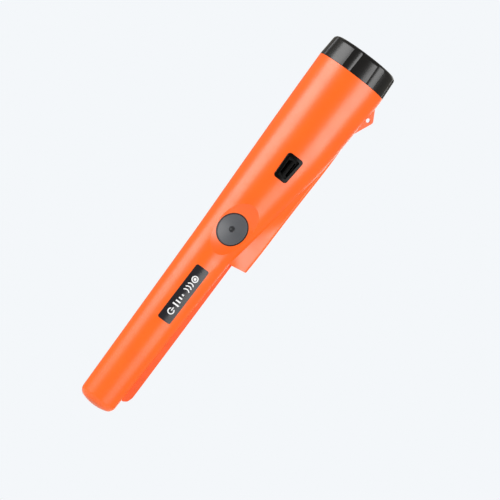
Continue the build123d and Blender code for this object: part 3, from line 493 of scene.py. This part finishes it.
def stroke_bar(shape, x, z, width, height):
    """A bar on the XZ plane, divided so that it can follow a curved surface."""
    stand = Matrix.Rotation(math.pi / 2, 4, "X")
    bmesh.ops.create_grid(
        shape,
        x_segments=6,
        y_segments=4,
        size=0.5,
        matrix=Matrix.Translation((x, 0, z)) @ stand @ Matrix.Diagonal((width, height, 1, 1)),
    )


def finish_piece(shape, name, material, body):
    """Turns a bmesh into a piece of the object, on its body and with its slot."""
    bmesh.ops.recalc_face_normals(shape, faces=shape.faces)
    mesh = bpy.data.meshes.new(name)
    shape.to_mesh(mesh)
    shape.free()
    mesh.materials.append(material)
    piece = bpy.data.objects.new(name, mesh)
    scene.collection.objects.link(piece)
    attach(piece, body)


def raise_strokes(shape, thickness):
    """Gives flat strokes on the XZ plane their thickness, towards -Y."""
    bmesh.ops.remove_doubles(shape, verts=shape.verts, dist=0.001 * mm)
    flat = list(shape.faces)
    grown = bmesh.ops.extrude_face_region(shape, geom=flat, use_keep_orig=True)["geom"]
    bmesh.ops.translate(shape, verts=[v for v in grown if isinstance(v, bmesh.types.BMVert)],
                        vec=(0, -thickness, 0))


def lay_on(shape, node, sink):
    """Moves strokes in Y until they lie on a node's front surface, sunk by a little."""
    in_front = -50 * mm                   # a plane that is clear of the whole probe
    skin = nodes[node].data
    tree = BVHTree.FromPolygons([v.co for v in skin.vertices], [p.vertices for p in skin.polygons])
    for vert in shape.verts:
        hit = tree.ray_cast(Vector((vert.co.x, in_front, vert.co.z)), Vector((0, 1, 0)))[0]
        vert.co.y += hit.y + sink


def label_print():
    """Wordless mark down the label: a target, three waves, four growing bars and a broken ring."""
    reach = 1.95 * mm                     # half the width of the mark
    line = 0.62 * mm                      # width of its lines
    margin = 5.6 * mm                     # bare label above it
    dot_radius = 0.42 * mm                # middle of the band that fills the target's dot
    dot_width = 0.8 * mm
    wave_radius = 2.2 * mm
    wave_drop = 3.2 * mm                  # from the target's lower edge to the first wave's centre
    wave_step = 1.95 * mm
    bar_drop = 8.7 * mm                   # from the same edge to the first bar
    bar_step = 2.1 * mm
    bar_height = 0.85 * mm
    bar_width = 1.2 * mm                  # the first bar's; each next one grows by bar_growth
    bar_growth = 0.9 * mm
    ring_drop = 19.3 * mm                 # from the same edge to the ring's centre
    stem_rise = 1.3 * mm                  # from there up to the stem's middle
    stem_length = 2.2 * mm

    low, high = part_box("label_plate")
    middle = (low.x + high.x) / 2
    top = high.z - margin
    edge = top - 2 * reach
    shape = bmesh.new()
    stroke_arc(shape, middle, top - reach, reach - line / 2, line)
    stroke_arc(shape, middle, top - reach, dot_radius, dot_width)
    for step in range(3):
        stroke_arc(shape, middle, edge - wave_drop - wave_step * step, wave_radius, line, 35, 145)
    for step in range(4):
        width = bar_width + bar_growth * step
        stroke_bar(shape, middle, edge - bar_drop - bar_step * step, width, bar_height)
    stroke_arc(shape, middle, edge - ring_drop, reach - line / 2, line, 125, 415)
    stroke_bar(shape, middle, edge - ring_drop + stem_rise, line, stem_length)
    raise_strokes(shape, 0.06 * mm)
    lay_on(shape, "label_plate", 0.015 * mm)
    finish_piece(shape, "label_print", ink, "body")


def cap_marks():
    """Raised marks on the cap's end: two turning arrows round the outline of a battery."""
    arrow_radius = 13.2 * mm
    arrow_width = 1.1 * mm
    arrow_starts = (25, 205)              # degrees
    shaft_sweep = 115                     # degrees along the shaft, and on to the middle of the head
    head_sweep = 121
    head_size = 2.0 * mm
    cell_x = 3.0 * mm                     # from the battery's middle to the middles of its outline's lines
    cell_z = 4.85 * mm
    cell_line = 0.7 * mm
    knob_z = 6.0 * mm
    knob_width = 2.4 * mm
    knob_height = 1.0 * mm
    raised = 0.35 * mm
    sunk = 0.05 * mm

    low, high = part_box("battery_cap")
    centre = (low + high) / 2
    shape = bmesh.new()
    for first in arrow_starts:
        stroke_arc(shape, 0, 0, arrow_radius, arrow_width, first, first + shaft_sweep)
        tip = math.radians(first + head_sweep)
        bmesh.ops.create_circle(
            shape,
            cap_ends=True,
            segments=3,
            radius=head_size,
            matrix=Matrix.Translation((arrow_radius * math.cos(tip), 0, arrow_radius * math.sin(tip)))
            @ Matrix.Rotation(-tip - math.pi / 2, 4, "Y")
            @ Matrix.Rotation(math.pi / 2, 4, "X")
            @ Matrix.Rotation(math.pi / 2, 4, "Z"),
        )
    for side in (-1, 1):
        stroke_bar(shape, side * cell_x, 0, cell_line, 2 * cell_z + cell_line)
        stroke_bar(shape, 0, side * cell_z, 2 * cell_x - cell_line, cell_line)
    stroke_bar(shape, 0, knob_z, knob_width, knob_height)
    raise_strokes(shape, raised)
    face_up = Matrix.Rotation(-math.pi / 2, 3, "X")
    bmesh.ops.rotate(shape, verts=shape.verts, cent=(0, 0, 0), matrix=face_up)
    bmesh.ops.translate(shape, verts=shape.verts, vec=(centre.x, centre.y, high.z - sunk))
    finish_piece(shape, "cap_marks", cap_abs, "cap")


label_print()
cap_marks()
